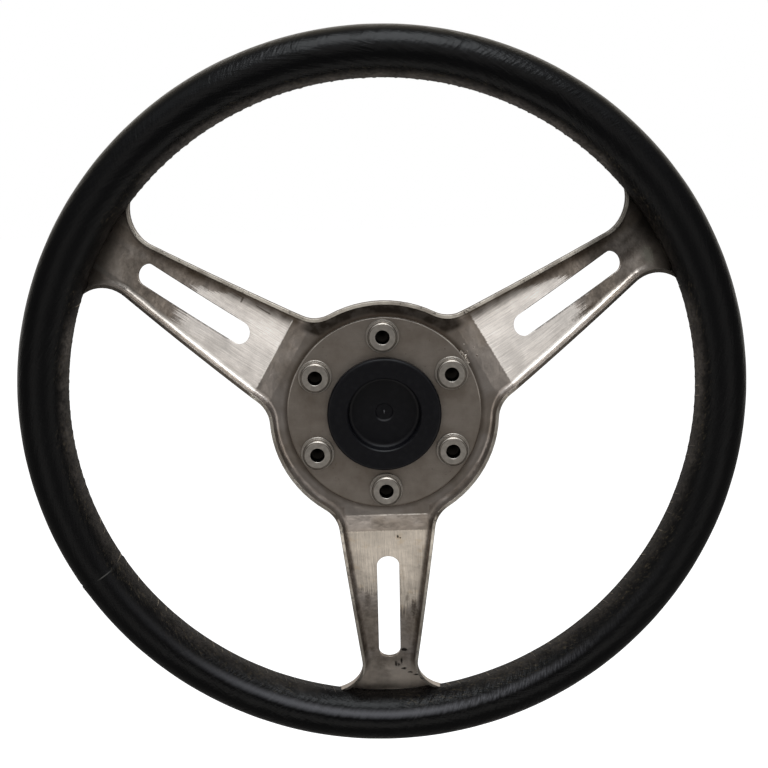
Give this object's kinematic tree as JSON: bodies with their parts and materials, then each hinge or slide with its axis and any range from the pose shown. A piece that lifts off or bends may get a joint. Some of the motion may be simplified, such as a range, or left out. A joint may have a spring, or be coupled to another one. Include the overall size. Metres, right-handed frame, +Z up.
{
  "type": "steering wheel",
  "caption": "Dished boat steering wheel: pressed steel spider with slotted spokes, round hub plate with threaded bushes, black centre cap and a stitched black leather rim.",
  "frame": {"origin": "centre of the bolt circle, in the plane of the bush faces that the steering hub bolts against", "axes": "+Y along the wheel's axis towards the driver, +Z up with one spoke hanging straight down, +X to the right as seen from the mounting side"},
  "size_m": [0.36, 0.0577, 0.3599],
  "materials": {
    "spider_steel": "brushed along each spoke, lightly stained",
    "plate_steel": "fine satin",
    "bush_steel": "turned",
    "weld_steel": "as welded",
    "core_steel": "plain, hidden",
    "black_plastic": "satin moulded",
    "grip_foam": "plain, hidden",
    "black_leather": "fine grain, smooth highlights",
    "dark_thread": "waxed thread"
  },
  "bodies": {
    "root": {"spoke_spider": "spider_steel", "hub_plate": "plate_steel", "hub_bush_1": "bush_steel", "hub_bush_2": "bush_steel", "hub_bush_3": "bush_steel", "hub_bush_4": "bush_steel", "hub_bush_5": "bush_steel", "hub_bush_6": "bush_steel", "centre_cap": "black_plastic", "plate_tack_weld": "weld_steel", "rim_core": "core_steel", "core_weld_1": "weld_steel", "core_weld_2": "weld_steel", "core_weld_3": "weld_steel", "rim_foam": "grip_foam", "leather_cover": "black_leather", "edge_thread_1": "dark_thread", "edge_thread_2": "dark_thread", "edge_thread_3": "dark_thread"}
  },
  "joints": []
}
